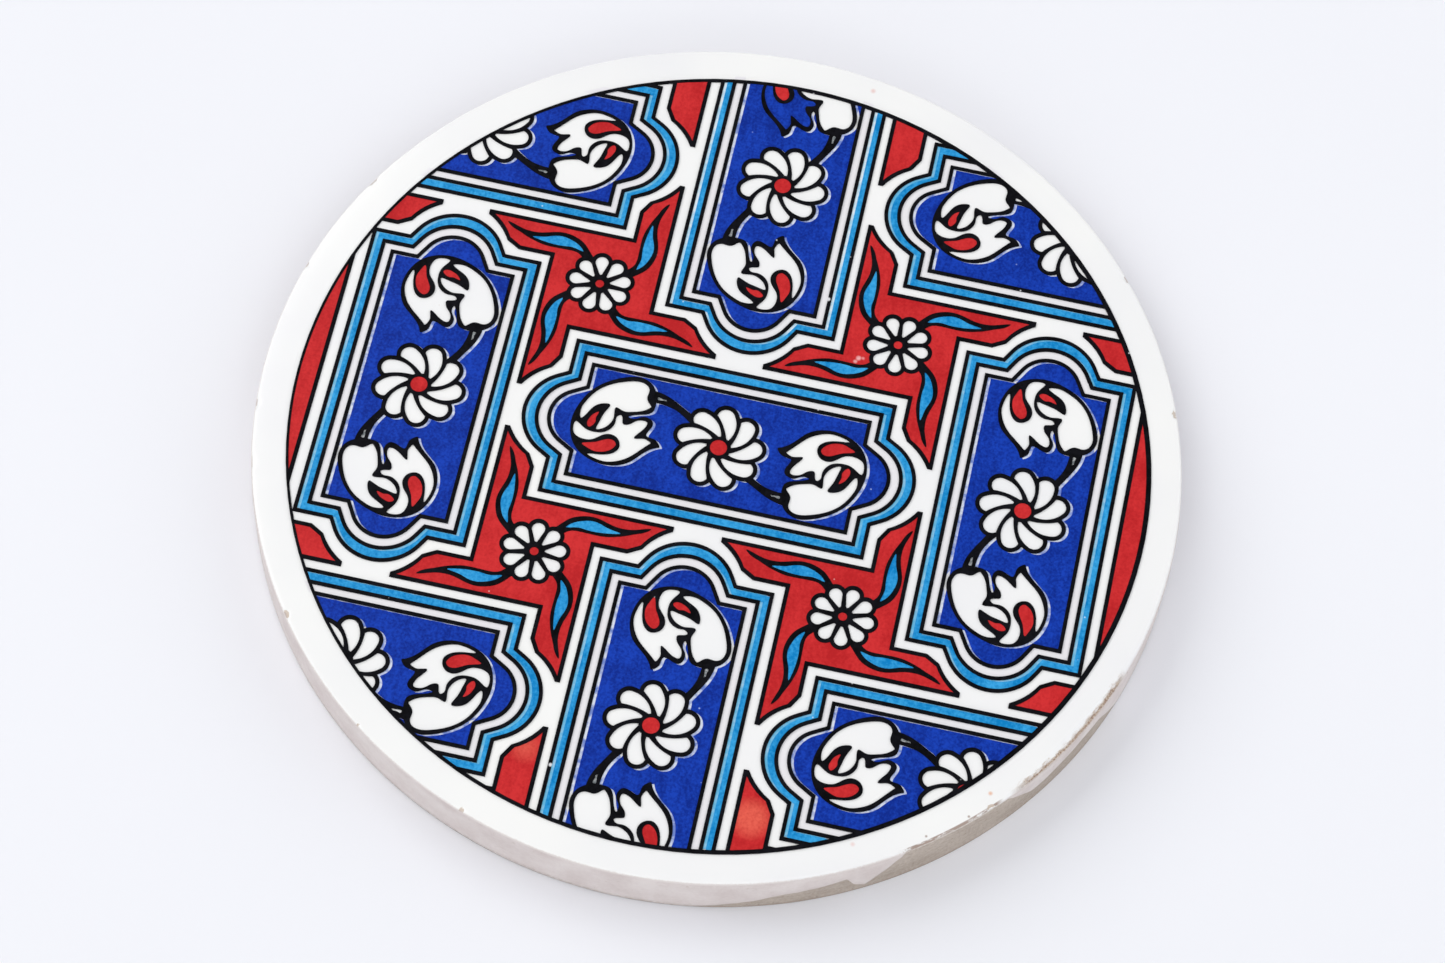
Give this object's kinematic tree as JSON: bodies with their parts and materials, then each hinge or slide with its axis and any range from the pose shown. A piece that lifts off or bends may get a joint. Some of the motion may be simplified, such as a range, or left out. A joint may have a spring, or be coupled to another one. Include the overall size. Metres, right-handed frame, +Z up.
{
  "type": "decorated ceramic coaster plate",
  "caption": "Flat round glazed ceramic disc with an enamelled tile pattern of cartouches, tulips and pinwheels inside a black ring, for resting a cup on.",
  "frame": {"origin": "centre of the underside of the disc", "axes": "+Z up out of the decorated face, +X along the long axis of the middle cartouche"},
  "size_m": [0.1053, 0.1052, 0.0071],
  "materials": {
    "clay": "matte, bare fired clay",
    "white_glaze": "gloss white glaze",
    "side_wash": "thin satin wash",
    "black_line": "satin black enamel",
    "blue_enamel": "satin cobalt blue enamel",
    "turquoise_enamel": "satin turquoise enamel",
    "red_enamel": "satin red enamel"
  },
  "bodies": {
    "root": {"clay_body": "clay", "white_glaze": "white_glaze", "side_glaze_wash": "side_wash", "border_ring": "black_line", "edge_red_fields": "red_enamel", "edge_ink": "black_line", "centre_blue_field": "blue_enamel", "centre_turquoise_band": "turquoise_enamel", "centre_ink": "black_line", "centre_red_cells": "red_enamel", "east_blue_field": "blue_enamel", "east_turquoise_band": "turquoise_enamel", "east_ink": "black_line", "east_red_cells": "red_enamel", "west_blue_field": "blue_enamel", "west_turquoise_band": "turquoise_enamel", "west_ink": "black_line", "west_red_cells": "red_enamel", "north_blue_field": "blue_enamel", "north_turquoise_band": "turquoise_enamel", "north_ink": "black_line", "north_red_cells": "red_enamel", "south_blue_field": "blue_enamel", "south_turquoise_band": "turquoise_enamel", "south_ink": "black_line", "south_red_cells": "red_enamel", "northeast_blue_field": "blue_enamel", "northeast_turquoise_band": "turquoise_enamel", "northeast_ink": "black_line", "northeast_red_cells": "red_enamel", "northwest_blue_field": "blue_enamel", "northwest_turquoise_band": "turquoise_enamel", "northwest_ink": "black_line", "northwest_red_cells": "red_enamel", "southeast_blue_field": "blue_enamel", "southeast_turquoise_band": "turquoise_enamel", "southeast_ink": "black_line", "southeast_red_cells": "red_enamel", "southwest_blue_field": "blue_enamel", "southwest_turquoise_band": "turquoise_enamel", "southwest_ink": "black_line", "southwest_red_cells": "red_enamel", "northeast_wheel_leaves": "turquoise_enamel", "northeast_wheel_ink": "black_line", "northeast_wheel_red_field": "red_enamel", "northwest_wheel_leaves": "turquoise_enamel", "northwest_wheel_ink": "black_line", "northwest_wheel_red_field": "red_enamel", "southeast_wheel_leaves": "turquoise_enamel", "southeast_wheel_ink": "black_line", "southeast_wheel_red_field": "red_enamel", "southwest_wheel_leaves": "turquoise_enamel", "southwest_wheel_ink": "black_line", "southwest_wheel_red_field": "red_enamel"}
  },
  "joints": []
}
